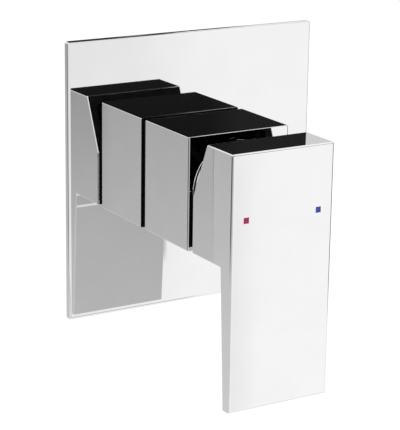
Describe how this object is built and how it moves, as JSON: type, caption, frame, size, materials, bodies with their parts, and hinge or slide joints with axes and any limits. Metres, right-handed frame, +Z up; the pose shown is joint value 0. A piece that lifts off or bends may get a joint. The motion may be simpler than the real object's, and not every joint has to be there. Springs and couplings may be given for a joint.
{
  "type": "concealed shower mixer",
  "caption": "Concealed single-lever shower mixer: in-wall brass body and ceramic cartridge behind a square chrome plate, square sleeve and flat lever handle.",
  "frame": {"origin": "centre of the four fixing lugs on the back face of the in-wall body, on the valve axis", "axes": "+X to the right (towards the cold inlet), +Y into the wall, +Z up (towards the outlet)"},
  "size_m": [0.12, 0.1175, 0.1445],
  "materials": {
    "chrome": "polished chrome plate",
    "foam": "closed-cell foam rubber",
    "black_rubber": "moulded rubber",
    "red_fibre": "pressed fibre washer",
    "cast_brass": "sand-cast brass, machined faces",
    "machined_brass": "turned brass",
    "stem_brass": "drawn brass",
    "cartridge_plastic": "glass-filled moulding",
    "base_plastic": "glass-filled moulding",
    "rotor_plastic": "acetal moulding",
    "limiter_plastic": "acetal moulding",
    "ceramic": "lapped alumina ceramic",
    "screw_steel": "stainless steel",
    "hot_red": "glossy enamel square",
    "cold_blue": "glossy enamel square"
  },
  "bodies": {
    "root": {"cover_plate": "chrome", "trim_sleeve": "chrome", "dome_cap": "chrome", "plate_gasket": "foam", "sleeve_seal": "black_rubber", "sleeve_o_rings": "black_rubber", "base_seals": "black_rubber", "port_seals": "black_rubber", "plug_washer": "red_fibre", "mixer_body": "cast_brass", "outlet_plug": "machined_brass", "retaining_nut": "machined_brass", "cartridge_housing": "cartridge_plastic", "cartridge_base": "base_plastic", "limiter_ring": "limiter_plastic", "fixed_disc": "ceramic", "sleeve_grub_screw": "screw_steel"},
    "rotor": {"rotor_guide": "rotor_plastic", "pivot_pin": "screw_steel"},
    "lever": {"lever_handle": "chrome", "lever_stem": "stem_brass", "handle_grub_screw": "screw_steel", "screw_cap": "chrome", "hot_marker": "hot_red", "cold_marker": "cold_blue"},
    "disc_carriage": {"disc_carrier": "rotor_plastic", "moving_disc": "ceramic"}
  },
  "joints": [
    {"name": "temperature_turn", "type": "hinge", "parent": "root", "child": "rotor", "pos_m": [0, -0.071, 0], "axis": [0, 1, 0], "range_deg": [-45, 45]},
    {"name": "flow_lift", "type": "hinge", "parent": "rotor", "child": "lever", "pos_m": [0, -0.071, 0], "axis": [-1, 0, 0], "range_deg": [0, 24]},
    {"name": "disc_slide", "type": "slide", "parent": "rotor", "child": "disc_carriage", "axis": [0, 0, -1], "range_m": [0, 0.0043]}
  ],
  "couplings": [
    {"joint": "disc_slide", "follows": "flow_lift", "m_per_rad": 0.010196}
  ]
}
